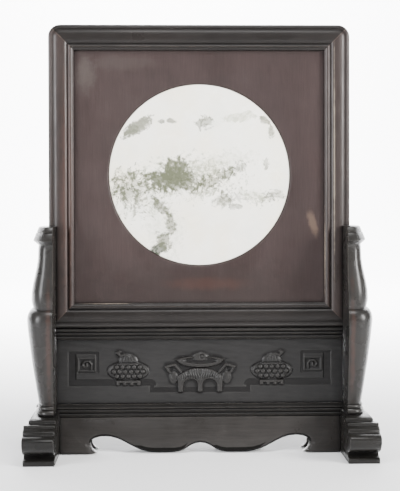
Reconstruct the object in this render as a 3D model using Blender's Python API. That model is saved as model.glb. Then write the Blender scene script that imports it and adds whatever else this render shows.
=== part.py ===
"""Table screen: a mitred frame round a board with an inset marble roundel, lifted into a carved stand.

Metres, +Z up. The origin is on the ground, midway between the two feet, and the front faces -Y.
"""

import math

import bmesh
import bpy
from mathutils import Vector

GAP = 0.0003  # kept between any two pieces that touch

# Framed screen
FRAME_WIDTH = 0.339
FRAME_HEIGHT = 0.3412
FRAME_BASE_Z = 0.1402
FRAME_HALF_DEPTH = 0.011
MEMBER_WIDTH = 0.028
TOP_CORNER_RADIUS = 0.013
BOTTOM_CORNER_RADIUS = 0.004
CORNER_STEPS = 4

# Board in the frame's groove, and the roundel let into its face
BOARD_FRONT_Y = -0.0036
BOARD_BACK_Y = 0.008
BOARD_TONGUE = 0.005
ROUNDEL_DIAMETER = 0.2042
ROUNDEL_CENTRE_Z = 0.313
ROUNDEL_FRONT_Y = -0.0018
ROUNDEL_THICKNESS = 0.007
ROUNDEL_RIM = 0.0018
ROUNDEL_SIDES = 64

# Posts
POST_INNER_X = 0.1615
POST_FLAT = 0.42  # share of the post's width that stays flat in front, beside its inner edge
POST_SIDE_HALF = 0.018  # half of the straight stretch of its outer side
POST_DEPTH_EXTRA = 0.028  # half-depth, less the width
POST_CORNER_STEPS = 5

# Feet
FOOT_INNER_X = 0.1579
FOOT_OUTER_X = 0.1918
FOOT_TOP_Z = 0.0427
PLINTH_OUTER_X = 0.1872
PLINTH_TOP_Z = 0.0476
PLINTH_REACH_Y = 0.060
PLINTH_SLOPE = (0.0036, 0.0017)  # inset and height of the slope round its top

# Crossbars: reeds listed from the base up, under a plain top fillet, front and back
BAR_HALF_LENGTH = POST_INNER_X - GAP
BAR_CORE_Y = 0.0126
REED_RISE = 0.0015
REED_STEPS = 4
UPPER_BAR = {"base": 0.1280, "top": FRAME_BASE_Z - GAP, "reeds": (0.0040, 0.0040, 0.0036)}
LOWER_BAR = {"base": 0.0408, "top": 0.0553, "reeds": (0.0043, 0.0043, 0.0029)}

# Carved panel between the crossbars
PANEL_FRONT_Y = -0.008
PANEL_BACK_Y = 0.006
PANEL_BASE_Z = LOWER_BAR["top"] + GAP
PANEL_TOP_Z = UPPER_BAR["base"] - GAP
RELIEF_ROOT_Y = PANEL_FRONT_Y + 0.0032  # raised carving starts inside the board, under its sunk slopes

# Aprons
APRON_TOP_Z = LOWER_BAR["base"] - GAP
APRON_HALF_LENGTH = FOOT_INNER_X - GAP
APRON_BACK_Y = -0.0075
APRON_TOP_Y = -0.0135
APRON_FLARE = 0.007  # how far the face leans out by the time it reaches the ground
APRON_EDGE_Y = -0.0135  # where the rounded under edge ends
APRON_CLEAR_Z = 0.0012  # lowest point above the ground
APRON_EDGE_RISE = 0.0058  # height of the under edge below the face's arris
CREST_Z = 0.0116
SIDE_CREST = (0.1068, 0.0194)
TROUGH = (0.029, 0.051)
HOOK_X = 0.1232
HOOK_Z = 0.0120
SPUR_X = 0.1160
CURVE_STEPS = 6


def finish(name, colour, roughness):
    """A plain Principled material in the piece's own colour."""
    material = bpy.data.materials.new(name)
    material.use_nodes = True
    shader = material.node_tree.nodes["Principled BSDF"]
    shader.inputs["Base Color"].default_value = (*colour, 1.0)
    shader.inputs["Roughness"].default_value = roughness
    shader.inputs["Metallic"].default_value = 0.0
    material.diffuse_color = (*colour, 1.0)
    return material


DARK_WOOD = ((0.028, 0.024, 0.022), 0.38)
RED_WOOD = ((0.045, 0.029, 0.025), 0.38)
BOARD_WOOD = ((0.105, 0.070, 0.062), 0.45)
CARVED_WOOD = ((0.040, 0.036, 0.034), 0.42)
MARBLE = ((0.80, 0.79, 0.72), 0.22)


def add_object(name, bm, wood, smooth_angle=30):
    """Makes an object at the origin from a bmesh, with its own material."""
    bmesh.ops.recalc_face_normals(bm, faces=bm.faces)
    mesh = bpy.data.meshes.new(name)
    bm.to_mesh(mesh)
    bm.free()
    mesh.shade_smooth()
    mesh.set_sharp_from_angle(angle=math.radians(smooth_angle))
    mesh.materials.append(finish(name + "_finish", *wood))
    obj = bpy.data.objects.new(name, mesh)
    bpy.context.scene.collection.objects.link(obj)
    return obj


def loft(bm, rings):
    """Joins equal rings of points into a tube, with its two ends filled."""
    rows = [[bm.verts.new(point) for point in ring] for ring in rings]
    count = len(rows[0])
    for low, high in zip(rows, rows[1:]):
        for i in range(count):
            j = (i + 1) % count
            bm.faces.new((low[i], low[j], high[j], high[i]))
    bm.faces.new(rows[0])
    bm.faces.new(reversed(rows[-1]))
    bmesh.ops.remove_doubles(bm, verts=bm.verts, dist=1e-6)


def extrude_x(bm, outline, x0, x1):
    """A prism along X of an outline of (y, z) points."""
    loft(bm, [[(x, y, z) for y, z in outline] for x in (x0, x1)])


def box(bm, low, high):
    """A rectangular block between two corners."""
    (x0, y0, z0), (x1, y1, z1) = low, high
    extrude_x(bm, [(y0, z0), (y1, z0), (y1, z1), (y0, z1)], x0, x1)


def helper(name, bm):
    """A cutter or a guide: never a piece of its own."""
    bmesh.ops.recalc_face_normals(bm, faces=bm.faces)
    mesh = bpy.data.meshes.new(name)
    bm.to_mesh(mesh)
    bm.free()
    obj = bpy.data.objects.new(name, mesh)
    obj.hide_render = True
    obj.display_type = "WIRE"
    bpy.context.scene.collection.objects.link(obj)
    return obj


def combine(target, other, operation):
    """Cuts another closed mesh from the target, or joins it on."""
    modifier = target.modifiers.new(f"{operation.lower()}_{other.name}", "BOOLEAN")
    modifier.operation = operation
    modifier.solver = "EXACT"
    modifier.object = other


def arc(centre, radii, start, end, steps):
    """Points on an ellipse's arc, angles in degrees from the first axis."""
    points = []
    for i in range(steps + 1):
        angle = math.radians(start + (end - start) * i / steps)
        points.append((centre[0] + radii[0] * math.cos(angle), centre[1] + radii[1] * math.sin(angle)))
    return points


def bezier(a, b, c, d, steps):
    """Points along a cubic curve, without its last one."""
    points = []
    for i in range(steps):
        t = i / steps
        s = 1 - t
        weights = (s**3, 3 * s * s * t, 3 * s * t * t, t**3)
        points.append(tuple(sum(w * p[k] for w, p in zip(weights, (a, b, c, d))) for k in (0, 1)))
    return points


# --- Frame ------------------------------------------------------------------------------------


def member_section():
    """Section of a frame member as (distance in from the outer edge, y), groove included."""
    front = -FRAME_HALF_DEPTH
    bead = [(0.0, front + 0.0018), (0.0010, front + 0.0006), (0.0026, front), (0.0038, front + 0.0004)]
    quirk = [(0.0045, front + 0.0018), (0.0058, front + 0.0018)]
    band = [(0.0066, front + 0.0011), (0.0092, front + 0.0003), (0.0125, front), (0.0168, front + 0.0004)]
    fillets = [
        (0.0201, front + 0.0016),
        (0.0205, front + 0.0026),
        (0.0214, front + 0.0026),
        (0.0218, front + 0.0015),
        (0.0244, front + 0.0015),
        (0.0250, front + 0.0024),
        (0.0272, front + 0.0025),
        (MEMBER_WIDTH, front + 0.0036),
    ]
    groove_in = MEMBER_WIDTH - BOARD_TONGUE - GAP
    groove = [
        (MEMBER_WIDTH, BOARD_FRONT_Y - GAP),
        (groove_in, BOARD_FRONT_Y - GAP),
        (groove_in, BOARD_BACK_Y + GAP),
        (MEMBER_WIDTH, BOARD_BACK_Y + GAP),
    ]
    back = [(MEMBER_WIDTH, FRAME_HALF_DEPTH), (0.001, FRAME_HALF_DEPTH), (0.0, FRAME_HALF_DEPTH - 0.001)]
    return bead + quirk + band + fillets + groove + back


def corner_stations(radius):
    """Angles from the mitre to the straight stretch of a rounded corner."""
    return [math.radians(45 * (1 - i / CORNER_STEPS)) for i in range(CORNER_STEPS + 1)] if radius else [0.0]


def member_ring(length, radius, angle, from_end):
    """The section at one station of a corner, as (along, in, y): mitred, and set back by half the joint's gap."""
    ring = []
    for inward, y in member_section():
        centre = max(radius, inward)
        bend = max(radius - inward, 0.0)
        along = centre - bend * math.sin(angle) + GAP / math.sqrt(2)
        across = centre - bend * math.cos(angle)
        ring.append((length - along if from_end else along, across, y))
    return ring


def frame_member(name, length, radii, place, wood):
    """One mitred member; place turns (along, in, y) into a point."""
    rings = [member_ring(length, radii[0], angle, False) for angle in corner_stations(radii[0])]
    rings += [member_ring(length, radii[1], angle, True) for angle in reversed(corner_stations(radii[1]))]
    bm = bmesh.new()
    loft(bm, [[place(*point) for point in ring] for ring in rings])
    bmesh.ops.dissolve_degenerate(bm, dist=1e-6, edges=bm.edges)
    return add_object(name, bm, wood)


def make_frame():
    left, right = -FRAME_WIDTH / 2, FRAME_WIDTH / 2
    base, top = FRAME_BASE_Z, FRAME_BASE_Z + FRAME_HEIGHT
    high, low = TOP_CORNER_RADIUS, BOTTOM_CORNER_RADIUS
    frame_member("frame_top_rail", FRAME_WIDTH, (high, high), lambda s, w, y: (left + s, y, top - w), DARK_WOOD)
    frame_member("frame_bottom_rail", FRAME_WIDTH, (low, low), lambda s, w, y: (right - s, y, base + w), DARK_WOOD)
    frame_member("frame_left_stile", FRAME_HEIGHT, (low, high), lambda s, w, y: (left + w, y, base + s), RED_WOOD)
    frame_member("frame_right_stile", FRAME_HEIGHT, (high, low), lambda s, w, y: (right - w, y, top - s), RED_WOOD)


def turned(profile, centre_z, sides):
    """A bmesh turned round the roundel's axis from (radius, y) points, closed on the axis."""
    bm = bmesh.new()
    rings = []
    for radius, y in profile:
        angles = [2 * math.pi * i / sides for i in range(sides)]
        rings.append([(radius * math.cos(a), y, centre_z + radius * math.sin(a)) for a in angles])
    loft(bm, rings)
    return bm


def make_board():
    inset = MEMBER_WIDTH - BOARD_TONGUE
    half = FRAME_WIDTH / 2 - inset
    bm = bmesh.new()
    low = (-half, BOARD_FRONT_Y, FRAME_BASE_Z + inset)
    high = (half, BOARD_BACK_Y, FRAME_BASE_Z + FRAME_HEIGHT - inset)
    box(bm, low, high)
    board = add_object("panel_board", bm, BOARD_WOOD)
    radius = ROUNDEL_DIAMETER / 2
    mouth = ROUNDEL_FRONT_Y - BOARD_FRONT_Y
    seat = ROUNDEL_FRONT_Y + ROUNDEL_THICKNESS + GAP
    recess = [
        (radius + ROUNDEL_RIM * (mouth + 0.001) / mouth, BOARD_FRONT_Y - 0.001),
        (radius + GAP, ROUNDEL_FRONT_Y),
        (radius + GAP, seat),
    ]
    cutter = helper("roundel_recess", turned(recess, ROUNDEL_CENTRE_Z, ROUNDEL_SIDES))
    combine(board, cutter, "DIFFERENCE")


def make_roundel():
    radius = ROUNDEL_DIAMETER / 2
    ease = 0.0006
    back = ROUNDEL_FRONT_Y + ROUNDEL_THICKNESS
    profile = [(radius - ease, ROUNDEL_FRONT_Y), (radius, ROUNDEL_FRONT_Y + ease), (radius, back)]
    add_object("marble_roundel", turned(profile, ROUNDEL_CENTRE_Z, ROUNDEL_SIDES), MARBLE)


# --- Posts ------------------------------------------------------------------------------------

RING_LOW = {"base": PLINTH_TOP_Z + GAP, "height": 0.0062, "reach": 0.0212, "rise": 0.0015}
RING_HIGH = {"base": 0.0546, "height": 0.0040, "reach": 0.0200, "rise": 0.0008}
BODY = {"base": 0.0592, "foot": 0.0184, "shoulder": 0.0312, "shoulder_z": 0.1515}
PINCH = {"z": 0.1649, "reach": 0.0240}
BELLY = {"z": 0.1755, "reach": 0.0262}
BELLY_SLOPE = 1.15  # over 1 keeps the fullest point low
NECK = {"z": 0.2289, "reach": 0.0185}
CAP_LOW = {"base": 0.2352, "wide_z": 0.2396, "reach": 0.0242, "top_z": 0.2482, "top_reach": 0.0212}
CAP_HIGH = {"base": 0.2490, "reach": 0.0204, "top_z": 0.2545, "top_reach": 0.0184, "height": 0.0009}
SHOULDER_SWELL = 0.36  # how far the tapered body bows out of a straight line


def post_outline():
    """The post's width at each height, from the lower ring to the cap, as (z, width, roundness)."""
    rows = []
    for ring in (RING_LOW, RING_HIGH):
        for i in range(5):
            swell = math.sin(math.pi * i / 4)
            rows.append((ring["base"] + ring["height"] * i / 4, ring["reach"] - ring["rise"] * (1 - swell), 1.0))
        rows.append((rows[-1][0] + 0.0003, rows[-1][1] - 0.0014, 1.0))
    rise = BODY["shoulder"] - BODY["foot"]
    for i in range(7):
        t = i / 6
        bow = t + SHOULDER_SWELL * (math.sin(math.pi * t / 2) - t)
        rows.append((BODY["base"] + (BODY["shoulder_z"] - BODY["base"]) * t, BODY["foot"] + rise * bow, 1.0))
    pinch, belly = PINCH["reach"], BELLY["reach"]
    round_off = (BODY["shoulder"] - pinch, PINCH["z"] - BODY["shoulder_z"])
    for reach, z in arc((pinch, BODY["shoulder_z"]), round_off, 18, 90, 4):
        rows.append((z, reach, 1.0))
    for i in range(1, 4):
        t = i / 3
        z = PINCH["z"] + 0.0004 + (BELLY["z"] - PINCH["z"]) * t
        rows.append((z, pinch + (belly - pinch) * math.sin(math.pi * t / 2), 1.0))
    for i in range(1, 7):
        t = i / 6
        ease = 1 - ((1 + math.cos(math.pi * t)) / 2) ** BELLY_SLOPE
        z = BELLY["z"] + 0.0004 + (NECK["z"] - BELLY["z"]) * t
        rows.append((z, belly + (NECK["reach"] - belly) * ease, 1.0))
    rows.append((CAP_LOW["base"], NECK["reach"], 0.8))
    rows.append((CAP_LOW["wide_z"], CAP_LOW["reach"], 0.3))
    rows.append((CAP_LOW["wide_z"] + 0.0010, CAP_LOW["reach"], 0.3))
    rows.append((CAP_LOW["top_z"], CAP_LOW["top_reach"], 0.3))
    rows.append((CAP_HIGH["base"], CAP_HIGH["reach"] - 0.0006, 0.3))
    rows.append((CAP_HIGH["base"] + 0.0004, CAP_HIGH["reach"], 0.3))
    rows.append((CAP_HIGH["top_z"], CAP_HIGH["top_reach"], 0.3))
    rows.append((CAP_HIGH["top_z"] + CAP_HIGH["height"], CAP_HIGH["top_reach"] - 0.001, 0.3))
    return rows


def post_section(width, roundness):
    """Half of the post's plan, front part, as (out from the inner face, y towards the back)."""
    flat = POST_FLAT * width
    depth = width + POST_DEPTH_EXTRA
    points = [(0.0, -depth)]
    for i in range(POST_CORNER_STEPS + 1):
        t = i / POST_CORNER_STEPS
        angle = math.radians(90 * t)
        curved = (math.sin(angle), math.cos(angle))
        straight = (t, 1 - t)
        u, v = (roundness * c + (1 - roundness) * s for c, s in zip(curved, straight))
        points.append((flat + (width - flat) * u, -POST_SIDE_HALF - (depth - POST_SIDE_HALF) * v))
    return points


def make_post(name, side):
    bm = bmesh.new()
    rings = []
    for z, width, roundness in post_outline():
        front = post_section(width, roundness)
        plan = front + [(x, -y) for x, y in reversed(front)]
        rings.append([(side * (POST_INNER_X + x), y, z) for x, y in plan])
    loft(bm, rings)
    post = add_object(name, bm, DARK_WOOD)
    bm = bmesh.new()
    groove_y = FRAME_HALF_DEPTH + GAP
    inner = side * (POST_INNER_X - 0.005)
    floor = side * (FRAME_WIDTH / 2 + GAP)
    box(bm, (inner, -groove_y, FRAME_BASE_Z - GAP), (floor, groove_y, 0.3))
    combine(post, helper(name + "_groove", bm), "DIFFERENCE")


# --- Feet -------------------------------------------------------------------------------------

PAD = {"reach": 0.0772, "height": 0.0062, "edge": 0.0013}
FOOT_NECK = (0.0663, 0.0114)
ROLL = {"reach": 0.0885, "z": 0.0280, "top_y": 0.0790, "top_z": 0.0332}
RISER = {"y": 0.0765, "top_y": 0.0755, "top_z": 0.0370}
LIP = {"reach": 0.069, "base_z": 0.0400, "edge": 0.0010}
ARCH = {"half": 0.022, "height": 0.0055}
SCROLL_BACK_Y = 0.0575  # behind its scrolls the foot is only as wide as its plinth


def foot_outline():
    """Half of the foot's side view, from under the middle to its top, as (y, z)."""
    points = arc((0.0, 0.0), (ARCH["half"], ARCH["height"]), 90, 0, 4)
    reach, edge = PAD["reach"], PAD["edge"]
    points += [(reach - edge, 0.0), (reach, edge), (reach, PAD["height"] - edge), (reach - edge, PAD["height"])]
    points += bezier((reach - 2 * edge, PAD["height"] + 0.0004), (0.070, 0.0070), (0.0672, 0.0085), FOOT_NECK, 3)
    neck_y, neck_z = FOOT_NECK
    points += arc((neck_y, ROLL["z"]), (ROLL["reach"] - neck_y, ROLL["z"] - neck_z), -90, 0, 6)
    points += arc((ROLL["top_y"], ROLL["z"]), (ROLL["reach"] - ROLL["top_y"], ROLL["top_z"] - ROLL["z"]), 22, 90, 3)
    points += [(RISER["y"], ROLL["top_z"] + 0.0002), (RISER["top_y"], RISER["top_z"])]
    points += [(LIP["reach"] + 0.0012, LIP["base_z"] - 0.0002), (LIP["reach"], LIP["base_z"])]
    points += [(LIP["reach"], FOOT_TOP_Z - LIP["edge"]), (LIP["reach"] - LIP["edge"], FOOT_TOP_Z)]
    return points


def make_foot(name, side):
    front = [(-y, z) for y, z in foot_outline()]
    back = [(-y, z) for y, z in reversed(front)]
    bm = bmesh.new()
    extrude_x(bm, front + back[:-1], side * FOOT_INNER_X, side * FOOT_OUTER_X)
    foot = add_object(name, bm, DARK_WOOD)
    bm = bmesh.new()
    inset, slope = PLINTH_SLOPE
    inner = side * FOOT_INNER_X
    rings = []
    for z, back in ((FOOT_TOP_Z - 0.004, 0.0), (PLINTH_TOP_Z - slope, 0.0), (PLINTH_TOP_Z, inset)):
        outer, reach = side * (PLINTH_OUTER_X - back), PLINTH_REACH_Y - back
        rings.append([(inner, -reach, z), (outer, -reach, z), (outer, reach, z), (inner, reach, z)])
    loft(bm, rings)
    combine(foot, helper(name + "_plinth", bm), "UNION")
    bm = bmesh.new()
    low = (side * PLINTH_OUTER_X, -SCROLL_BACK_Y, -0.01)
    box(bm, low, (side * (FOOT_OUTER_X + 0.01), SCROLL_BACK_Y, PLINTH_TOP_Z + 0.01))
    combine(foot, helper(name + "_waist", bm), "DIFFERENCE")
    bm = bmesh.new()
    bar_y = BAR_CORE_Y + REED_RISE + GAP
    low = (side * (FOOT_INNER_X - 0.01), -bar_y, LOWER_BAR["base"] - GAP)
    box(bm, low, (side * POST_INNER_X, bar_y, PLINTH_TOP_Z + 0.01))
    combine(foot, helper(name + "_housing", bm), "DIFFERENCE")


# --- Crossbars --------------------------------------------------------------------------------


def make_bar(name, bar):
    """A crossbar, its reeds stacked up from its base on both faces."""
    front = []
    base = bar["base"]
    for height in bar["reeds"]:
        reed = arc((BAR_CORE_Y, base + height / 2), (REED_RISE, height / 2), -90, 90, REED_STEPS)
        front += reed[1:] if front else reed
        base += height
    front += [(BAR_CORE_Y, bar["top"])]
    outline = [(-y, z) for y, z in front] + [(y, z) for y, z in reversed(front)]
    bm = bmesh.new()
    extrude_x(bm, outline, -BAR_HALF_LENGTH, BAR_HALF_LENGTH)
    add_object(name, bm, DARK_WOOD)


# --- Carved panel -----------------------------------------------------------------------------

CHANNEL_DEPTH = 0.0024
LEDGE_Z = 0.0671  # where the middle vessel stands
STEP_Z = 0.0753  # where the outer vessels stand
STEP_X = 0.0568
FRET = {"outer": 0.1482, "inner": 0.1142, "top": 0.1142, "bottom": 0.0895, "end": 0.1372}
# The carved line round the vessels, from the middle out, with the width of each run's slope.
FRET_LINE = (
    ((-0.001, LEDGE_Z), 0.0062),
    ((STEP_X, LEDGE_Z), 0.0052),
    ((STEP_X, STEP_Z), 0.0068),
    ((FRET["outer"], STEP_Z), 0.0088),
    ((FRET["outer"], FRET["top"]), 0.0058),
    ((FRET["inner"], FRET["top"]), 0.0030),
    ((FRET["inner"], FRET["bottom"]), 0.0024),
    ((FRET["end"], FRET["bottom"]), 0.0),
)
CENSER_X = 0.0808
CENSER_BODY = {"z": 0.0919, "half": 0.0233, "half_height": 0.0109, "rise": 0.0030}
CENSER_LID = {"z": 0.1023, "half": 0.0110, "half_height": 0.0089, "rise": 0.0024}
CENSER_COLLAR = {"z": 0.0996, "half": 0.0098, "half_height": 0.0014}
BOSS_ROWS = ((0.0955, 4, 0.0063), (0.0905, 5, 0.0069), (0.0854, 4, 0.0067))
BOSS_RADIUS = 0.0028
CENSER_FEET = {"half": 0.0139, "base": STEP_Z, "top": 0.0821, "teeth": 4}
DING_BODY = {"half": 0.0279, "top": 0.0952, "arch_z": 0.0803, "base": 0.0675, "rise": 0.0026}
DING_LEG = {"outer": (0.0192, 0.0255), "middle": 0.0031}
DING_LOBE = {"x": 0.0294, "z": 0.0865, "half": 0.0061, "half_height": 0.0089, "rise": 0.0018}
DING_LID = {"half": 0.0262, "z": 0.1039, "dip": 0.0078, "rise_z": 0.0045, "rise": 0.0020}
DING_KNOB = {"z": 0.1074, "half": 0.0102, "half_height": 0.0072, "rise": 0.0026}
DING_HANDLE = (
    (0.0218, 0.0916), (0.0296, 0.1012), (0.0315, 0.1008), (0.0394, 0.0975),
    (0.0345, 0.0905), (0.0303, 0.0910), (0.0352, 0.0957), (0.0308, 0.0978), (0.0266, 0.0916),
)


def offset_line(start, end, distance):
    """A line's point and direction, moved to its left by a distance."""
    direction = (Vector(end) - Vector(start)).normalized()
    return Vector(start) + Vector((-direction.y, direction.x)) * distance, direction


def crossing(first, second):
    """Where two lines of the panel's plane meet."""
    (p, d), (q, e) = first, second
    cross = d.x * e.y - d.y * e.x
    t = ((q.x - p.x) * e.y - (q.y - p.y) * e.x) / cross
    return p + d * t


def channel(side):
    """The sunk slope beside the carved line: deepest along the line, rising to the surface inside it."""
    above = 0.0003
    corners = [point for point, _ in FRET_LINE]
    widths = [width for _, width in FRET_LINE]
    rings = []
    for i, corner in enumerate(corners):
        near = []
        for share in (0.0, 1 + above / CHANNEL_DEPTH):
            lines = []
            for j in (i - 1, i):
                if 0 <= j < len(corners) - 1:
                    lines.append(offset_line(corners[j], corners[j + 1], widths[j] * share))
            if len(lines) == 1:
                lines.append((Vector(corner), Vector((-lines[0][1].y, lines[0][1].x))))
            near.append(crossing(*lines))
        wall, slope = near
        y = PANEL_FRONT_Y
        rings.append([
            (side * wall.x, y - above, wall.y),
            (side * wall.x, y + CHANNEL_DEPTH, wall.y),
            (side * slope.x, y - above, slope.y),
        ])
    bm = bmesh.new()
    loft(bm, rings)
    return bm


def dome(bm, x, z, half, half_height, rise, segments=12, rings=6):
    """A low rounded swelling on the panel's face."""
    made = bmesh.ops.create_uvsphere(bm, u_segments=segments, v_segments=rings, radius=1.0)
    for vert in made["verts"]:
        px, py, pz = vert.co
        vert.co = (x + px * half, PANEL_FRONT_Y + pz * rise, z + py * half_height)


def plate(bm, outline, rise):
    """A flat raised shape on the panel's face, from (x, z) points."""
    loft(bm, [[(x, y, z) for x, z in outline] for y in (RELIEF_ROOT_Y, PANEL_FRONT_Y - rise)])


def relief_piece(target, name, build):
    bm = bmesh.new()
    build(bm)
    combine(target, helper(name, bm), "UNION")


def censer(target, side):
    """A round-bellied lidded vessel with rows of bosses, on a toothed foot."""
    x = side * CENSER_X
    label = "left" if side < 0 else "right"
    feet = CENSER_FEET
    step = 2 * feet["half"] / (2 * feet["teeth"] - 1)
    outline = [(x - feet["half"], feet["base"])]
    for i in range(2 * feet["teeth"] - 2):
        edge = x - feet["half"] + (i + 1) * step
        levels = (feet["base"], feet["base"] + 0.0022)
        outline += [(edge, level) for level in (levels if i % 2 == 0 else reversed(levels))]
    outline += [(x + feet["half"], feet["base"]), (x + feet["half"] * 0.8, feet["top"]), (x - feet["half"] * 0.8, feet["top"])]
    relief_piece(target, f"censer_feet_{label}", lambda bm: plate(bm, outline, 0.0016))
    body, lid, collar = CENSER_BODY, CENSER_LID, CENSER_COLLAR
    args = (body["half"], body["half_height"], body["rise"])
    relief_piece(target, f"censer_body_{label}", lambda bm: dome(bm, x, body["z"], *args, 20, 8))
    args_lid = (lid["half"], lid["half_height"], lid["rise"])
    relief_piece(target, f"censer_lid_{label}", lambda bm: dome(bm, x, lid["z"], *args_lid, 12, 6))
    band = [(x + i * collar["half"], collar["z"] + j * collar["half_height"]) for i, j in ((-1, -1), (1, -1), (1, 1), (-1, 1))]
    relief_piece(target, f"censer_collar_{label}", lambda bm: plate(bm, band, 0.0031))
    tip = [(x + side * dx, z) for dx, z in ((0.000, 0.1083), (0.0044, 0.1069), (0.0147, 0.1127), (0.0127, 0.1146), (0.0069, 0.1127))]
    relief_piece(target, f"censer_finial_{label}", lambda bm: plate(bm, tip, 0.0018))
    for row, (z, count, pitch) in enumerate(BOSS_ROWS):
        for i in range(count):
            boss_x = x + (i - (count - 1) / 2) * pitch
            spread = ((boss_x - x) / body["half"]) ** 2 + ((z - body["z"]) / body["half_height"]) ** 2
            rise = body["rise"] * math.sqrt(max(0.0, 1 - spread)) + 0.0009
            args_boss = (BOSS_RADIUS, BOSS_RADIUS * 0.86, rise)
            name = f"censer_boss_{label}_{row}_{i}"
            relief_piece(target, name, lambda bm, a=boss_x, b=z, c=args_boss: dome(bm, a, b, *c, 8, 6))


def ding(target):
    """A footed vessel with a boat-shaped lid, a knob, ear handles and three legs."""
    body, leg = DING_BODY, DING_LEG
    outline = [(leg["middle"], body["base"])]
    outline += arc(((leg["middle"] + leg["outer"][0]) / 2, body["arch_z"] - 0.006),
                   ((leg["outer"][0] - leg["middle"]) / 2, 0.006), 180, 0, 6)
    outline += [(leg["outer"][0], body["base"]), (leg["outer"][1], body["base"])]
    outline += [(leg["outer"][1] + 0.0005, body["arch_z"]), (body["half"], 0.0870), (body["half"] - 0.0040, body["top"])]
    full = outline + [(-x, z) for x, z in reversed(outline)]
    relief_piece(target, "ding_body", lambda bm: plate(bm, full, body["rise"]))
    lid = DING_LID
    rim = arc((0.0, lid["z"]), (lid["half"], lid["dip"]), 180, 360, 12)
    rim += arc((0.0, lid["z"]), (lid["half"], lid["rise_z"]), 0, 180, 10)[1:-1]
    relief_piece(target, "ding_lid", lambda bm: plate(bm, rim, lid["rise"]))
    knob = DING_KNOB
    args = (knob["half"], knob["half_height"], knob["rise"])
    relief_piece(target, "ding_knob", lambda bm: dome(bm, 0.0, knob["z"], *args, 12, 6))
    lobe = DING_LOBE
    args_lobe = (lobe["half"], lobe["half_height"], lobe["rise"])
    for side in (-1, 1):
        label = "left" if side < 0 else "right"
        relief_piece(target, f"ding_lobe_{label}", lambda bm, s=side: dome(bm, s * lobe["x"], lobe["z"], *args_lobe, 12, 6))
        handle = [(side * x, z) for x, z in DING_HANDLE]
        relief_piece(target, f"ding_handle_{label}", lambda bm, h=handle: plate(bm, h, 0.0022))


def make_carved_panel():
    bm = bmesh.new()
    half = BAR_HALF_LENGTH
    box(bm, (-half, PANEL_FRONT_Y, PANEL_BASE_Z), (half, PANEL_BACK_Y, PANEL_TOP_Z))
    panel = add_object("carved_panel", bm, CARVED_WOOD)
    for side, label in ((-1, "left"), (1, "right")):
        combine(panel, helper(f"channel_{label}", channel(side)), "DIFFERENCE")
    for side in (-1, 1):
        censer(panel, side)
    ding(panel)


# --- Aprons -----------------------------------------------------------------------------------


def apron_face_y(z):
    """The face leans out more and more towards the ground."""
    drop = (APRON_TOP_Z - z) / APRON_TOP_Z
    return APRON_TOP_Y - APRON_FLARE * drop**1.3


def apron_edge(rise, back):
    """The lower edge of half an apron from the middle out, as (x, z): its opening, or with a rise its face's arris."""
    low = APRON_CLEAR_Z
    crest = (0.0, CREST_Z + rise)
    in_trough, out_trough = ((x, low + rise) for x in TROUGH)
    top = (SIDE_CREST[0], SIDE_CREST[1] + rise)
    hook = (HOOK_X + back, HOOK_Z + rise * 0.2)
    spur = (SPUR_X + 1.7 * back, low)
    edge = bezier(crest, (0.012, crest[1]), (0.016, in_trough[1]), in_trough, CURVE_STEPS)
    edge += bezier(in_trough, (0.040, in_trough[1]), (0.045, out_trough[1]), out_trough, 2)
    edge += bezier(out_trough, (0.076, out_trough[1]), (0.086, top[1]), top, CURVE_STEPS + 2)
    edge += bezier(top, (top[0] + 0.009 + back * 0.5, top[1]), (hook[0], hook[1] + 0.005 + rise * 0.5), hook, CURVE_STEPS)
    edge += bezier(hook, (hook[0], hook[1] - 0.0052), (spur[0] + 0.0045, spur[1] + 0.0022), spur, CURVE_STEPS)
    edge += [spur, (APRON_HALF_LENGTH, low)]
    return edge


def make_apron(name, facing):
    """An apron hung from the lower crossbar; facing is 1 for the front one and -1 for the rear one."""
    opening = apron_edge(0.0, 0.0)
    arris = apron_edge(APRON_EDGE_RISE, 0.0056)

    def ring(edge, depth):
        half = [(x, depth(z), z) for x, z in edge] + [(APRON_HALF_LENGTH, depth(APRON_TOP_Z), APRON_TOP_Z)]
        whole = half + [(-x, y, z) for x, y, z in reversed(half) if x > 0]
        return [(facing * x, facing * y, z) for x, y, z in whole]

    middle = [((a[0] + 2 * b[0]) / 3, (a[1] * 0.45 + b[1] * 0.55)) for a, b in zip(arris, opening)]
    bm = bmesh.new()
    loft(bm, [
        ring(opening, lambda z: APRON_BACK_Y),
        ring(opening, lambda z: APRON_EDGE_Y if z < APRON_TOP_Z else apron_face_y(z)),
        ring(middle, lambda z: (APRON_EDGE_Y + 2 * apron_face_y(z)) / 3 - 0.001 if z < APRON_TOP_Z else apron_face_y(z)),
        ring(arris, apron_face_y),
    ])
    add_object(name, bm, DARK_WOOD)


def main():
    for obj in list(bpy.data.objects):
        bpy.data.objects.remove(obj)
    make_frame()
    make_board()
    make_roundel()
    for side, label in ((-1, "left"), (1, "right")):
        make_post(f"post_{label}", side)
        make_foot(f"foot_{label}", side)
    make_bar("upper_crossbar", UPPER_BAR)
    make_bar("lower_crossbar", LOWER_BAR)
    make_carved_panel()
    make_apron("apron_front", 1)
    make_apron("apron_rear", -1)


main()
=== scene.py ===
import math

import bmesh
import bpy
import numpy as np
from mathutils import Matrix, Vector


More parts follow.
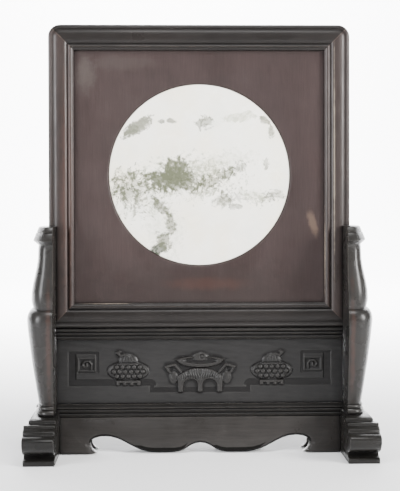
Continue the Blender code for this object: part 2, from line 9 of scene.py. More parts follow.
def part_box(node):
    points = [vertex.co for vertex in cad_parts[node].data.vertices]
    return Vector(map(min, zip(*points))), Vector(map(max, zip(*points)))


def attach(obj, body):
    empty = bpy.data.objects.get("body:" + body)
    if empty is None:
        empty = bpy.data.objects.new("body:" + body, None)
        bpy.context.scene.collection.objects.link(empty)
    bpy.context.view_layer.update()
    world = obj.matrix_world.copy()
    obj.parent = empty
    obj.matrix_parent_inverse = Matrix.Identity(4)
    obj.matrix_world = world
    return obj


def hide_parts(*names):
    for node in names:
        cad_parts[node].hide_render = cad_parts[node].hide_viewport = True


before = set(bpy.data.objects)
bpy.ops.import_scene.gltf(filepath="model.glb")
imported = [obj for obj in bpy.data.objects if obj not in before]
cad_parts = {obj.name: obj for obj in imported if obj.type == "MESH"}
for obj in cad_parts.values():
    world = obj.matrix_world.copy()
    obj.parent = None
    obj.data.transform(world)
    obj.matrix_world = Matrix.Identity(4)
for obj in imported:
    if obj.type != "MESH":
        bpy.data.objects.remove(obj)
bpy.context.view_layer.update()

mm = 0.001


# camera, backdrop and light; lengths in metres, angles in degrees
camera = {
    "place": (-0.03759, -1.311, 0.28498), "yaw": 1.6677, "pitchDown": 0.8535, "roll": -0.1424,
    "focal": 84.77, "sensor": 36.0, "shiftY": -0.0584,
}
studio = {
    "floorHalf": 4.0, "wallHeight": 5.0, "sweep": 1.2, "sweepSteps": 18, "floorRough": 0.85,
    "floorColour": (0.93, 0.93, 0.94), "worldColour": (1.0, 1.0, 1.0), "worldStrength": 0.50,
    # name: (place, looks at, width, power, colour)
    "lamps": {
        "keyRight": ((1.65, -1.15, 0.75), (0.05, 0.0, 0.24), 0.8, 98.0, (1.0, 0.99, 0.97)),
        "fillLeft": ((-1.65, -1.25, 0.65), (0.0, 0.0, 0.24), 0.9, 70.0, (0.97, 0.98, 1.0)),
        "overhead": ((0.10, -0.95, 1.75), (0.0, 0.0, 0.22), 0.8, 26.0, (1.0, 1.0, 1.0)),
        "backdrop": ((0.0, 1.6, 2.4), (0.0, 3.8, 1.0), 2.4, 950.0, (1.0, 1.0, 1.0)),
    },
}


def makeCamera():
    yaw, pitch, roll = (math.radians(camera[key]) for key in ("yaw", "pitchDown", "roll"))
    forward = Vector((math.sin(yaw) * math.cos(pitch), math.cos(yaw) * math.cos(pitch), -math.sin(pitch)))
    right = Vector((math.cos(yaw), -math.sin(yaw), 0.0))
    up = right.cross(forward)
    across = right * math.cos(roll) + up * math.sin(roll)
    above = up * math.cos(roll) - right * math.sin(roll)
    data = bpy.data.cameras.new("frontCamera")
    data.lens, data.sensor_width, data.shift_y = camera["focal"], camera["sensor"], camera["shiftY"]
    viewer = bpy.data.objects.new("frontCamera", data)
    turn = Matrix((across, above, -forward)).transposed()
    viewer.matrix_world = Matrix.Translation(camera["place"]) @ turn.to_4x4()
    bpy.context.scene.collection.objects.link(viewer)
    bpy.context.scene.camera = viewer


def makeStudio():
    half = studio["floorHalf"]
    bm = bmesh.new()
    bmesh.ops.create_grid(bm, x_segments=1, y_segments=1, size=half)
    backEdge = [edge for edge in bm.edges if all(vert.co.y > half * 0.9 for vert in edge.verts)]
    grown = bmesh.ops.extrude_edge_only(bm, edges=backEdge)["geom"]
    bmesh.ops.translate(bm, verts=[item for item in grown if isinstance(item, bmesh.types.BMVert)],
                        vec=(0, 0, studio["wallHeight"]))
    bmesh.ops.bevel(bm, geom=backEdge, offset=studio["sweep"], segments=studio["sweepSteps"], profile=0.5, affect="EDGES",
                    material=-1)
    for face in bm.faces:
        face.smooth = True
    mesh = bpy.data.meshes.new("floorSweep")
    bm.to_mesh(mesh)
    bm.free()
    floor = bpy.data.objects.new("floorSweep", mesh)
    paper = bpy.data.materials.new("studioPaper")
    paper.use_nodes = True
    shader = paper.node_tree.nodes["Principled BSDF"]
    shader.inputs["Base Color"].default_value = (*studio["floorColour"], 1.0)
    shader.inputs["Roughness"].default_value = studio["floorRough"]
    mesh.materials.append(paper)
    bpy.context.scene.collection.objects.link(floor)
    world = bpy.data.worlds.new("studioWorld")
    world.use_nodes = True
    sky = world.node_tree.nodes["Background"]
    sky.inputs["Color"].default_value = (*studio["worldColour"], 1.0)
    sky.inputs["Strength"].default_value = studio["worldStrength"]
    bpy.context.scene.world = world
    for name, (place, target, width, power, colour) in studio["lamps"].items():
        data = bpy.data.lights.new(name, "AREA")
        data.size, data.energy, data.color = width, power, colour
        lamp = bpy.data.objects.new(name, data)
        lamp.location = place
        lamp.rotation_euler = (Vector(target) - Vector(place)).to_track_quat("-Z", "Y").to_euler()
        bpy.context.scene.collection.objects.link(lamp)


makeCamera()
makeStudio()
print("camera, backdrop and light are set")


# shader node groups shared by the finishes
def newGroup(name, inputs, outputs):
    group = bpy.data.node_groups.new(name, "ShaderNodeTree")
    for label, kind, value in inputs:
        socket = group.interface.new_socket(label, in_out="INPUT", socket_type=kind)
        if value is not None:
            socket.default_value = value
    for label, kind in outputs:
        group.interface.new_socket(label, in_out="OUTPUT", socket_type=kind)
    return group, group.nodes.new("NodeGroupInput"), group.nodes.new("NodeGroupOutput")


def put(tree, kind, feeds=(), **values):
    # values set attributes of the node; feeds are (socket name or index, output socket or plain value)
    node = tree.nodes.new(kind)
    for key, value in values.items():
        setattr(node, key, value)
    for socket, source in feeds:
        if isinstance(source, bpy.types.NodeSocket):
            tree.links.new(source, node.inputs[socket])
        else:
            node.inputs[socket].default_value = source
    return node


def maths(tree, operation, first, second=None, clamp=False):
    feeds = [(0, first)] + ([(1, second)] if second is not None else [])
    return put(tree, "ShaderNodeMath", feeds, operation=operation, use_clamp=clamp).outputs[0]


def mapped(tree, value, low, high, toLow=0.0, toHigh=1.0):
    feeds = [("Value", value), ("From Min", low), ("From Max", high), ("To Min", toLow), ("To Max", toHigh)]
    return put(tree, "ShaderNodeMapRange", feeds, interpolation_type="SMOOTHSTEP").outputs["Result"]


def blended(tree, share, first, second, how="MIX"):
    node = put(tree, "ShaderNodeMix", data_type="RGBA", blend_type=how)
    for socket, source in ((node.inputs["Factor"], share), (node.inputs[6], first), (node.inputs[7], second)):
        if isinstance(source, bpy.types.NodeSocket):
            tree.links.new(source, socket)
        else:
            socket.default_value = source
    return node.outputs[2]


def noiseOf(tree, vector, scale, detail=4.0, roughness=0.55, distortion=0.0):
    feeds = [("Vector", vector), ("Scale", scale), ("Detail", detail), ("Roughness", roughness), ("Distortion", distortion)]
    return put(tree, "ShaderNodeTexNoise", feeds).outputs["Fac"]


figureLook = {"bands": (0.25, 0.78, 0.25, 0.75), "cloudScale": 16.0, "cloudShare": 1.3, "poreScale": 2.2,
              "pores": (0.30, 0.44, 0.62, 1.0),
              "bandHeight": 0.4, "poreHeight": (0.28, 0.44)}
wearLook = {"bend": (0.012, 0.12), "closeness": 0.004, "exposed": (0.72, 0.97), "patchy": (0.34, 0.62, 0.25, 1.0)}
# how ambient occlusion maps to the painted shade, with dirt, in creases and corners
creviceShadeAndDirtLook = {"shade": (0.92, 0.35)}
patchLook = {"beyond": 0.35, "fleckScale": 300.0, "flecks": (0.44, 0.56)}


def makeWoodFigure():
    group, given, made = newGroup(
        "woodFigure",
        [("Vector", "NodeSocketVector", None), ("Stretch", "NodeSocketVector", (1.0, 1.0, 0.05)),
         ("Scale", "NodeSocketFloat", 260.0),
         ("Dark", "NodeSocketColor", (0.01, 0.01, 0.01, 1)), ("Light", "NodeSocketColor", (0.05, 0.04, 0.03, 1))],
        [("Color", "NodeSocketColor"), ("Height", "NodeSocketFloat")])
    stretched = put(group, "ShaderNodeVectorMath", [(0, given.outputs["Vector"]), (1, given.outputs["Stretch"])],
                    operation="MULTIPLY").outputs[0]
    bands = noiseOf(group, stretched, given.outputs["Scale"], 5.0, 0.6, 0.4)
    finer = maths(group, "MULTIPLY", given.outputs["Scale"], figureLook["poreScale"])
    pores = noiseOf(group, stretched, finer, 2.0, 0.5)
    cloud = noiseOf(group, given.outputs["Vector"], figureLook["cloudScale"], 3.0)
    drift = maths(group, "MULTIPLY", maths(group, "SUBTRACT", cloud, 0.5), figureLook["cloudShare"])
    share = maths(group, "ADD", mapped(group, bands, *figureLook["bands"]), drift, clamp=True)
    share = maths(group, "MULTIPLY", share, mapped(group, pores, *figureLook["pores"]))
    group.links.new(blended(group, share, given.outputs["Dark"], given.outputs["Light"]), made.inputs["Color"])
    height = maths(group, "ADD", maths(group, "MULTIPLY", bands, figureLook["bandHeight"]),
                   mapped(group, pores, *figureLook["poreHeight"]))
    group.links.new(height, made.inputs["Height"])
    return group


def makeEdgeWear():
    # rubbed arrises: where the surface bends, stands clear and the noise allows it
    group, given, made = newGroup(
        "edgeWear",
        [("Vector", "NodeSocketVector", None), ("Radius", "NodeSocketFloat", 0.0012), ("Breakup", "NodeSocketFloat", 90.0)],
        [("Mask", "NodeSocketFloat")])
    rounded = put(group, "ShaderNodeBevel", [("Radius", given.outputs["Radius"])], samples=6).outputs["Normal"]
    flat = put(group, "ShaderNodeNewGeometry").outputs["Normal"]
    facing = put(group, "ShaderNodeVectorMath", [(0, rounded), (1, flat)], operation="DOT_PRODUCT").outputs["Value"]
    bend = mapped(group, maths(group, "SUBTRACT", 1.0, facing), *wearLook["bend"])
    closed = put(group, "ShaderNodeAmbientOcclusion", [("Distance", wearLook["closeness"])], samples=6).outputs["AO"]
    exposed = mapped(group, closed, *wearLook["exposed"])
    patchy = mapped(group, noiseOf(group, given.outputs["Vector"], given.outputs["Breakup"], 4.0), *wearLook["patchy"])
    group.links.new(maths(group, "MULTIPLY", maths(group, "MULTIPLY", bend, exposed), patchy), made.inputs["Mask"])
    return group


def makeCreviceShadeAndDirt():
    # painted shade in creases and corners, where ambient occlusion closes in, with the dirt and old wax there
    group, given, made = newGroup("creviceShadeAndDirt", [("Distance", "NodeSocketFloat", 0.006)], [("Mask", "NodeSocketFloat")])
    shade = put(group, "ShaderNodeAmbientOcclusion", [("Distance", given.outputs["Distance"])], samples=8).outputs["AO"]
    group.links.new(mapped(group, shade, *creviceShadeAndDirtLook["shade"]), made.inputs["Mask"])
    return group


def makeRubbed():
    # a soft worn patch: an ellipse on the front, its edge broken by noise
    group, given, made = newGroup(
        "rubbedPatch",
        [("Vector", "NodeSocketVector", None), ("Centre", "NodeSocketVector", (0, 0, 0)),
         ("Size", "NodeSocketVector", (0.02, 1.0, 0.02)),
         ("Turn", "NodeSocketFloat", 0.0), ("Soft", "NodeSocketFloat", 0.5), ("Ragged", "NodeSocketFloat", 0.6),
         ("Grain", "NodeSocketFloat", 120.0),
         ("Fleck", "NodeSocketFloat", 0.0)],
        [("Mask", "NodeSocketFloat")])
    moved = put(group, "ShaderNodeVectorMath", [(0, given.outputs["Vector"]), (1, given.outputs["Centre"])],
                operation="SUBTRACT").outputs[0]
    turned = put(group, "ShaderNodeVectorRotate", [("Vector", moved), ("Axis", (0, 1, 0)),
                                                   ("Angle", given.outputs["Turn"])]).outputs[0]
    scaled = put(group, "ShaderNodeVectorMath", [(0, turned), (1, given.outputs["Size"])], operation="DIVIDE").outputs[0]
    far = put(group, "ShaderNodeVectorMath", [(0, scaled)], operation="LENGTH").outputs["Value"]
    grain = noiseOf(group, given.outputs["Vector"], given.outputs["Grain"], 5.0, 0.62)
    ragged = maths(group, "MULTIPLY", maths(group, "SUBTRACT", grain, 0.5), given.outputs["Ragged"])
    reach = maths(group, "ADD", far, maths(group, "MULTIPLY", ragged, 2.0))
    inner = maths(group, "SUBTRACT", 1.0, given.outputs["Soft"])
    outer = maths(group, "ADD", 1.0, maths(group, "MULTIPLY", given.outputs["Soft"], patchLook["beyond"]))
    whole = maths(group, "SUBTRACT", 1.0, mapped(group, reach, inner, outer))
    flecks = mapped(group, noiseOf(group, given.outputs["Vector"], patchLook["fleckScale"], 3.0, 0.65),
                    *patchLook["flecks"])
    kept = maths(group, "SUBTRACT", 1.0, maths(group, "MULTIPLY", given.outputs["Fleck"],
                                               maths(group, "SUBTRACT", 1.0, flecks)))
    group.links.new(maths(group, "MULTIPLY", whole, kept), made.inputs["Mask"])
    return group


woodFigure = makeWoodFigure()
edgeWear = makeEdgeWear()
creviceShadeAndDirt = makeCreviceShadeAndDirt()
rubbedPatch = makeRubbed()


def useGroup(tree, group, feeds):
    node = put(tree, "ShaderNodeGroup", node_tree=group)
    for label, source in feeds:
        if isinstance(source, bpy.types.NodeSocket):
            tree.links.new(source, node.inputs[label])
        else:
            node.inputs[label].default_value = source
    return node.outputs


woods = {
    # colours: dark and light figure, worn arrises, and painted shade with dirt; then how far the grain is stretched,
    # how fine it is, roughness, how much wear shows, specular level, wax coat, and patches of (centre, size, turn,
    # colour, strength)
    "railWood": {"dark": (0.0074, 0.0064, 0.0060), "light": (0.0147, 0.0123, 0.0114),
                 "worn": (0.0775, 0.0600, 0.0500), "shadeAndDirt": (0.0030, 0.0025, 0.0025),
                 "stretch": (0.05, 1.0, 1.0), "scale": 900.0, "rough": 0.34, "wear": 0.75, "gloss": 0.13, "coat": 0.12,
                 "patches": [((-0.105, -0.011, 0.1688), (0.034, 0.02, 0.0012), 0.0, (0.22, 0.18, 0.14), 0.8)]},
    "stileWood": {"dark": (0.0152, 0.0115, 0.0109), "light": (0.0339, 0.0253, 0.0230),
                  "worn": (0.1000, 0.0650, 0.0500), "shadeAndDirt": (0.0030, 0.0025, 0.0025),
                  "stretch": (1.0, 1.0, 0.05), "scale": 900.0, "rough": 0.34, "wear": 0.8, "gloss": 0.15, "coat": 0.12,
                  "patches": [((0.1522, -0.011, 0.33), (0.0009, 0.02, 0.13), 0.0, (0.20, 0.17, 0.135), 0.75),
                              ((0.1412, -0.009, 0.225), (0.0012, 0.02, 0.050), 0.0, (0.20, 0.16, 0.12), 0.7),
                              ((-0.1485, -0.009, 0.30), (0.0080, 0.03, 0.15), 0.0, (0.050, 0.027, 0.022), 0.6)]},
    "boardWood": {"dark": (0.0204, 0.0134, 0.0127), "light": (0.0358, 0.0246, 0.0235),
                  "worn": (0.1000, 0.0700, 0.0600), "shadeAndDirt": (0.0090, 0.0060, 0.0055),
                  "stretch": (1.0, 1.0, 0.045), "scale": 1000.0, "rough": 0.42, "wear": 0.3, "gloss": 0.16, "coat": 0.06,
                  "patches": [((0.0, -0.0036, 0.180), (0.150, 0.02, 0.040), 0.0, (0.018, 0.013, 0.012), 0.65),
                              ((-0.128, -0.0036, 0.428), (0.012, 0.02, 0.024), 0.0, (0.085, 0.078, 0.070), 0.25),
                              ((-0.085, -0.0036, 0.440), (0.040, 0.02, 0.010), 0.0, (0.060, 0.050, 0.045), 0.22),
                              ((0.1285, -0.0036, 0.258), (0.0050, 0.02, 0.016), 0.25, (0.110, 0.075, 0.055), 0.50),
                              ((0.010, -0.0036, 0.190), (0.050, 0.02, 0.008), 0.0, (0.040, 0.020, 0.016), 0.55)]},
    "standWood": {"dark": (0.0091, 0.0087, 0.0083), "light": (0.0202, 0.0183, 0.0168),
                  "worn": (0.0825, 0.0725, 0.0600), "shadeAndDirt": (0.0030, 0.0025, 0.0025),
                  "stretch": (1.0, 1.0, 0.06), "scale": 800.0, "rough": 0.27, "wear": 0.7, "gloss": 0.17, "coat": 0.16,
                  "patches": [((-0.166, -0.050, 0.13), (0.0030, 0.03, 0.07), 0.0, (0.045, 0.024, 0.019), 0.5),
                              ((0.166, -0.050, 0.13), (0.0030, 0.03, 0.07), 0.0, (0.045, 0.024, 0.019), 0.5)]},
    # the stand's wood made darker for the reeded bars: painted shade where less light reaches them
    "shadedBarWood": {"dark": (0.0037, 0.0034, 0.0032), "light": (0.0080, 0.0072, 0.0066),
                "worn": (0.0750, 0.0650, 0.0540), "shadeAndDirt": (0.0030, 0.0025, 0.0025),
                "stretch": (0.05, 1.0, 1.0), "scale": 800.0, "rough": 0.34, "wear": 0.7, "gloss": 0.09, "coat": 0.05,
                "patches": []},
    "footWood": {"dark": (0.0048, 0.0046, 0.0043), "light": (0.0106, 0.0096, 0.0086),
                 "worn": (0.080, 0.070, 0.058), "shadeAndDirt": (0.003, 0.0025, 0.0025),
                 "stretch": (1.0, 0.06, 1.0), "scale": 800.0, "rough": 0.28, "wear": 0.45, "gloss": 0.15, "coat": 0.16,
                 "patches": []},
    # a darker copy of the apron's wood: painted shade on the faces that look down
    "shadedUnderWood": {"dark": (0.0027, 0.0025, 0.0023), "light": (0.0054, 0.0049, 0.0045),
                  "worn": (0.080, 0.070, 0.058), "shadeAndDirt": (0.002, 0.002, 0.002),
                  "stretch": (0.05, 1.0, 1.0), "scale": 800.0, "rough": 0.42, "wear": 0.6, "gloss": 0.06, "coat": 0.0,
                  "patches": []},
    "apronWood": {"dark": (0.0117, 0.0107, 0.0099), "light": (0.0253, 0.0226, 0.0212),
                  "worn": (0.080, 0.070, 0.058), "shadeAndDirt": (0.003, 0.0025, 0.0025),
                  "stretch": (0.05, 1.0, 1.0), "scale": 700.0, "rough": 0.34, "wear": 0.7, "gloss": 0.18, "coat": 0.12,
                  "patches": []},
    "carvedWood": {"dark": (0.0075, 0.0072, 0.0072), "light": (0.0157, 0.0150, 0.0147),
                   "worn": (0.0850, 0.0775, 0.0690), "shadeAndDirt": (0.0035, 0.0030, 0.0030),
                   "stretch": (0.08, 1.0, 1.0), "scale": 800.0, "rough": 0.36, "wear": 0.35, "gloss": 0.16, "coat": 0.10,
                   "carved": True, "rubbed": 0.07, "patches": []},
}


# shares of wear, and of painted shade with dirt, laid over the figure, and how roughness and bump follow them
woodSurface = {
    "patchSoft": 0.7, "patchRagged": 0.7, "shadeAndGrime": 0.85, "proud": (-0.04, -0.45), "sunk": (0.02, 0.26), "sunkShadeAndDirt": 0.97,
    "smudgeScale": 34.0, "smudge": (0.3, 0.7), "smoother": -0.07, "rougher": 0.09, "shadeAndGrimeRough": 0.25,
    "wearPolish": 0.06, "bump": 0.22, "bumpDepth": 0.0003, "coatRough": 0.28,
}


def makeWood(name):
    look, surface = woods[name], woodSurface
    material = bpy.data.materials.new(name)
    material.use_nodes = True
    tree = material.node_tree
    shader = tree.nodes["Principled BSDF"]
    place = put(tree, "ShaderNodeTexCoord").outputs["Object"]
    figure = useGroup(tree, woodFigure, [("Vector", place), ("Stretch", look["stretch"]), ("Scale", look["scale"]),
                                         ("Dark", (*look["dark"], 1)), ("Light", (*look["light"], 1))])
    colour = figure["Color"]
    for centre, size, turn, tint, strength in look["patches"]:
        patch = useGroup(tree, rubbedPatch, [("Vector", place), ("Centre", centre), ("Size", size), ("Turn", turn),
                                             ("Soft", surface["patchSoft"]), ("Ragged", surface["patchRagged"])])
        colour = blended(tree, maths(tree, "MULTIPLY", patch["Mask"], strength), colour, (*tint, 1))
    wear = useGroup(tree, edgeWear, [("Vector", place)])["Mask"]
    colour = blended(tree, maths(tree, "MULTIPLY", wear, look["wear"]), colour, (*look["worn"], 1))
    # painted shade, with some dirt, darkens the creases and corners
    shadeAndGrime = useGroup(tree, creviceShadeAndDirt, [])["Mask"]
    colour = blended(tree, maths(tree, "MULTIPLY", shadeAndGrime, surface["shadeAndGrime"]), colour, (*look["shadeAndDirt"], 1))
    if look.get("carved"):
        cut = put(tree, "ShaderNodeAttribute", attribute_name="cut").outputs["Fac"]
        colour = blended(tree, mapped(tree, cut, *surface["proud"], 0.0, look["rubbed"]), colour, (*look["worn"], 1))
        # painted shade in the carving's hollows, darker the deeper they lie, with some dirt and old wax
        colour = blended(tree, mapped(tree, cut, *surface["sunk"], 0.0, surface["sunkShadeAndDirt"]), colour, (*look["shadeAndDirt"], 1))
    tree.links.new(colour, shader.inputs["Base Color"])
    smudge = noiseOf(tree, place, surface["smudgeScale"], 4.0)
    rough = mapped(tree, smudge, *surface["smudge"], look["rough"] + surface["smoother"],
                   look["rough"] + surface["rougher"])
    rough = maths(tree, "ADD", rough, maths(tree, "MULTIPLY", shadeAndGrime, surface["shadeAndGrimeRough"]))
    rough = maths(tree, "SUBTRACT", rough, maths(tree, "MULTIPLY", wear, surface["wearPolish"]))
    tree.links.new(rough, shader.inputs["Roughness"])
    bump = put(tree, "ShaderNodeBump", [("Height", figure["Height"]), ("Strength", surface["bump"]),
                                        ("Distance", surface["bumpDepth"])])
    tree.links.new(bump.outputs["Normal"], shader.inputs["Normal"])
    shader.inputs["Coat Weight"].default_value = look["coat"]
    shader.inputs["Coat Roughness"].default_value = surface["coatRough"]
    shader.inputs["Specular IOR Level"].default_value = look["gloss"]
    return material


marbleLook = {
    "centreZ": 0.313, "cream": (0.92, 0.895, 0.815), "warm": (0.89, 0.83, 0.68), "cool": (0.78, 0.80, 0.73),
    "greyGreen": (0.085, 0.092, 0.055), "deepGreen": (0.024, 0.032, 0.017), "paleGreen": (0.40, 0.41, 0.30),
    "clouds": (14.0, 3.0), "cloudShare": (0.42, 0.70), "veils": (23.0, 4.0), "veilShare": (0.50, 0.78, 0.0, 0.6),
    "wanderScale": 34.0, "wander": (0.016, 0.0, 0.016), "soft": 0.30, "grain": 230.0, "fleckFrom": 0.8,
    "polishScale": 60.0, "polish": (0.3, 0.7, 0.20, 0.30), "bump": 0.04, "bumpDepth": 0.0004,
    # the green figure, front patch first, in millimetres from the middle of the stone:
    # (x, z), (half width, half height), turn in degrees, colour, strength, raggedness
    "figure": [
        ((-70, 54), (20, 8), 38, "greyGreen", 0.85, 0.85), ((-78, 50), (10, 6), 30, "deepGreen", 0.5, 1.0),
        ((-42, 61), (5, 3.4), 0, "greyGreen", 0.8, 1.0), ((-31, 63), (4.5, 3), 0, "greyGreen", 0.75, 1.0),
        ((6, 60), (10, 8), 20, "greyGreen", 0.85, 1.15), ((74, 63), (7, 4), -35, "greyGreen", 0.8, 1.0),
        ((81, 50), (4.5, 7), 10, "greyGreen", 0.8, 1.0), ((46, 65), (20, 5), 0, "paleGreen", 0.75, 1.2),
        ((-29, -7), (36, 13), 0, "greyGreen", 1.0, 1.0), ((-27, 4), (18, 16), 0, "greyGreen", 1.0, 0.9),
        ((-42, -4), (17, 9), 20, "deepGreen", 0.8, 1.15), ((-22, 4), (8, 8), -30, "deepGreen", 0.55, 1.1),
        ((12, -8), (15, 9), 15, "greyGreen", 0.9, 1.25), ((30, 1), (12, 7), 25, "greyGreen", 0.85, 1.25),
        ((45, 9), (11, 6), 35, "greyGreen", 0.75, 1.3), ((26, -30), (10, 9), 0, "greyGreen", 0.8, 1.2),
        ((-80, -14), (22, 19), 0, "greyGreen", 0.85, 1.4), ((-84, -20), (12, 10), 0, "deepGreen", 0.6, 1.4),
        ((-44, -36), (17, 6), -42, "greyGreen", 0.9, 1.05), ((-34, -57), (6, 15), 0, "greyGreen", 0.9, 1.05),
        ((-41, -76), (7, 13), 30, "greyGreen", 0.95, 1.05), ((-47, -85), (12, 7), 30, "deepGreen", 1.0, 0.95),
        ((84, -26), (12, 7), 20, "greyGreen", 0.75, 1.25), ((40, -38), (7, 4), 0, "greyGreen", 0.7, 1.1),
        ((77, 11), (4, 7.5), 0, "greyGreen", 0.7, 1.15), ((60, -22), (16, 8), -10, "paleGreen", 0.6, 1.35),
        ((-12, -2), (56, 24), 0, "paleGreen", 0.55, 1.35), ((-8, -4), (50, 20), 0, "greyGreen", 0.55, 1.9),
        ((-70, -18), (28, 24), 0, "greyGreen", 0.6, 1.9), ((56, -24), (36, 9), -8, "greyGreen", 0.5, 1.9),
        ((-66, -22), (36, 26), 0, "paleGreen", 0.5, 1.45), ((-40, -60), (20, 34), 10, "paleGreen", 0.35, 1.45),
        ((20, 12), (40, 14), 15, "paleGreen", 0.4, 1.45),
    ],
}


def makeMarble():
    look = marbleLook
    material = bpy.data.materials.new("creamMarble")
    material.use_nodes = True
    tree = material.node_tree
    shader = tree.nodes["Principled BSDF"]
    place = put(tree, "ShaderNodeTexCoord").outputs["Object"]
    wander = put(tree, "ShaderNodeTexNoise", [("Vector", place), ("Scale", look["wanderScale"]),
                                              ("Detail", 3.0)]).outputs["Color"]
    wander = put(tree, "ShaderNodeVectorMath", [(0, wander), (1, (0.5, 0.5, 0.5))], operation="SUBTRACT").outputs[0]
    wander = put(tree, "ShaderNodeVectorMath", [(0, wander), (1, look["wander"])], operation="MULTIPLY").outputs[0]
    bent = put(tree, "ShaderNodeVectorMath", [(0, place), (1, wander)], operation="ADD").outputs[0]
    colour = blended(tree, mapped(tree, noiseOf(tree, place, *look["clouds"]), *look["cloudShare"]), (*look["cream"], 1),
                     (*look["warm"], 1))
    colour = blended(tree, mapped(tree, noiseOf(tree, bent, *look["veils"]), *look["veilShare"]), colour,
                     (*look["cool"], 1))
    for (x, z), (half, halfHeight), turn, tint, strength, ragged in reversed(look["figure"]):
        centre = (x * mm, 0.0, look["centreZ"] + z * mm)
        fleck = min(max(ragged - look["fleckFrom"], 0.0), 1.0)
        patch = useGroup(tree, rubbedPatch, [("Vector", bent), ("Centre", centre),
                                             ("Size", (half * mm, 1.0, halfHeight * mm)),
                                             ("Turn", math.radians(turn)), ("Soft", look["soft"]), ("Ragged", ragged),
                                             ("Grain", look["grain"]), ("Fleck", fleck)])
        colour = blended(tree, maths(tree, "MULTIPLY", patch["Mask"], strength), colour, (*look[tint], 1))
    tree.links.new(colour, shader.inputs["Base Color"])
    polish = noiseOf(tree, place, look["polishScale"], 3.0)
    tree.links.new(mapped(tree, polish, *look["polish"]), shader.inputs["Roughness"])
    bump = put(tree, "ShaderNodeBump", [("Height", polish), ("Strength", look["bump"]), ("Distance", look["bumpDepth"])])
    tree.links.new(bump.outputs["Normal"], shader.inputs["Normal"])
    return material


finishes = {name: makeWood(name) for name in woods}
finishes["creamMarble"] = makeMarble()
print("finishes are made")


def addPiece(name, bm, finish, slot, *nodes, sharpAngle=32):
    bmesh.ops.recalc_face_normals(bm, faces=bm.faces)
    mesh = bpy.data.meshes.new(name)
    bm.to_mesh(mesh)
    bm.free()
    mesh.shade_smooth()
    mesh.set_sharp_from_angle(angle=math.radians(sharpAngle))
    mesh.materials.append(finishes[finish])
    piece = bpy.data.objects.new(name, mesh)
    bpy.context.scene.collection.objects.link(piece)
    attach(piece, "root")
    if nodes:
        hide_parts(*nodes)
    return piece


# how a solid is eased: points nearer than merge are joined, faces within flat degrees of each other become one, and arrises
# sharper than angle degrees are rounded by arris metres
easing = {"merge": 2e-5, "flat": 1.5}
frameLook = {"arris": 0.00025, "segments": 2, "angle": 38, "drawnUp": 0.00012, "mitreReach": 0.0006}
boardLook = {"arris": 0.0002, "segments": 1, "angle": 38}
postLook = {"arris": 0.0004, "segments": 2, "angle": 38, "sharpAngle": 30}
footLook = {"arris": 0.0007, "segments": 3, "angle": 38, "sharpAngle": 30}
barLook = {"arris": 0.0002, "segments": 1, "angle": 60}
# faces of an apron that look down more than underTilt belong to its rounded lower edge and get the darker wood, painted
# shade
apronLook = {"arris": 0.0003, "segments": 2, "angle": 42, "underTilt": -0.03}


def onMitre(vert):
    # the joint's plane runs at 45 degrees from a corner of the frame
    (x0, _, z0), (x1, _, z1) = frameBox
    fromSide = min(vert.co.x - x0, x1 - vert.co.x)
    fromEnd = min(vert.co.z - z0, z1 - vert.co.z)
    return abs(fromSide - fromEnd) < frameLook["mitreReach"]


def closeMitres(bm, way):
    # draws the joints up from the solids' modelling gap to a hairline
    middle = (frameBox[0].z + frameBox[1].z) / 2
    for vert in bm.verts:
        if onMitre(vert):
            outward = Vector((math.copysign(1, vert.co.x), 0.0, -math.copysign(1, vert.co.z - middle))).normalized()
            vert.co += outward * way * frameLook["drawnUp"]


def easedCopy(node, look, mitred=False):
    # the solid's own shape with its arrises rounded over
    bm = bmesh.new()
    bm.from_mesh(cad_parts[node].data)
    bmesh.ops.remove_doubles(bm, verts=bm.verts, dist=easing["merge"])
    bmesh.ops.dissolve_limit(bm, angle_limit=math.radians(easing["flat"]), verts=bm.verts, edges=bm.edges)
    arrises = [edge for edge in bm.edges if edge.is_manifold and edge.calc_face_angle(0) > math.radians(look["angle"])]
    if mitred:
        arrises = [edge for edge in arrises if not all(onMitre(vert) for vert in edge.verts)]
        closeMitres(bm, -1 if "stile" in node else 1)
    bmesh.ops.bevel(bm, geom=arrises, offset=look["arris"], segments=look["segments"], profile=0.5,
                    affect="EDGES", material=-1, clamp_overlap=True)
    return bm


frameBox = (Vector((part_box("frame_left_stile")[0].x, 0.0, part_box("frame_bottom_rail")[0].z)),
            Vector((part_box("frame_right_stile")[1].x, 0.0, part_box("frame_top_rail")[1].z)))
for node, finish in (("frame_top_rail", "railWood"), ("frame_bottom_rail", "railWood"), ("frame_left_stile", "stileWood"),
                     ("frame_right_stile", "stileWood")):
    addPiece(node.replace("frame_", "moulded_"), easedCopy(node, frameLook, mitred=True), finish, "frame_wood", node)
addPiece("screen_board", easedCopy("panel_board", boardLook), "boardWood", "board_wood", "panel_board")
print("frame and board are made")


roundel = {"radius": 0.1021, "front": -0.0018, "back": 0.0052, "ease": 0.0007, "easeSteps": 3, "sides": 160}


def makeRoundel():
    bm = bmesh.new()
    thick = roundel["back"] - roundel["front"]
    bmesh.ops.create_cone(bm, cap_ends=True, segments=roundel["sides"], radius1=roundel["radius"],
                          radius2=roundel["radius"], depth=thick)
    rims = [edge for edge in bm.edges if abs(edge.verts[0].co.z - edge.verts[1].co.z) < 1e-6]
    bmesh.ops.bevel(bm, geom=rims, offset=roundel["ease"], segments=roundel["easeSteps"], profile=0.5, affect="EDGES",
                    material=-1)
    bmesh.ops.rotate(bm, verts=bm.verts, matrix=Matrix.Rotation(math.radians(90), 3, "X"))
    bmesh.ops.translate(bm, verts=bm.verts, vec=(0.0, (roundel["front"] + roundel["back"]) / 2, marbleLook["centreZ"]))
    addPiece("stone_roundel", bm, "creamMarble", "marble", "marble_roundel")


makeRoundel()

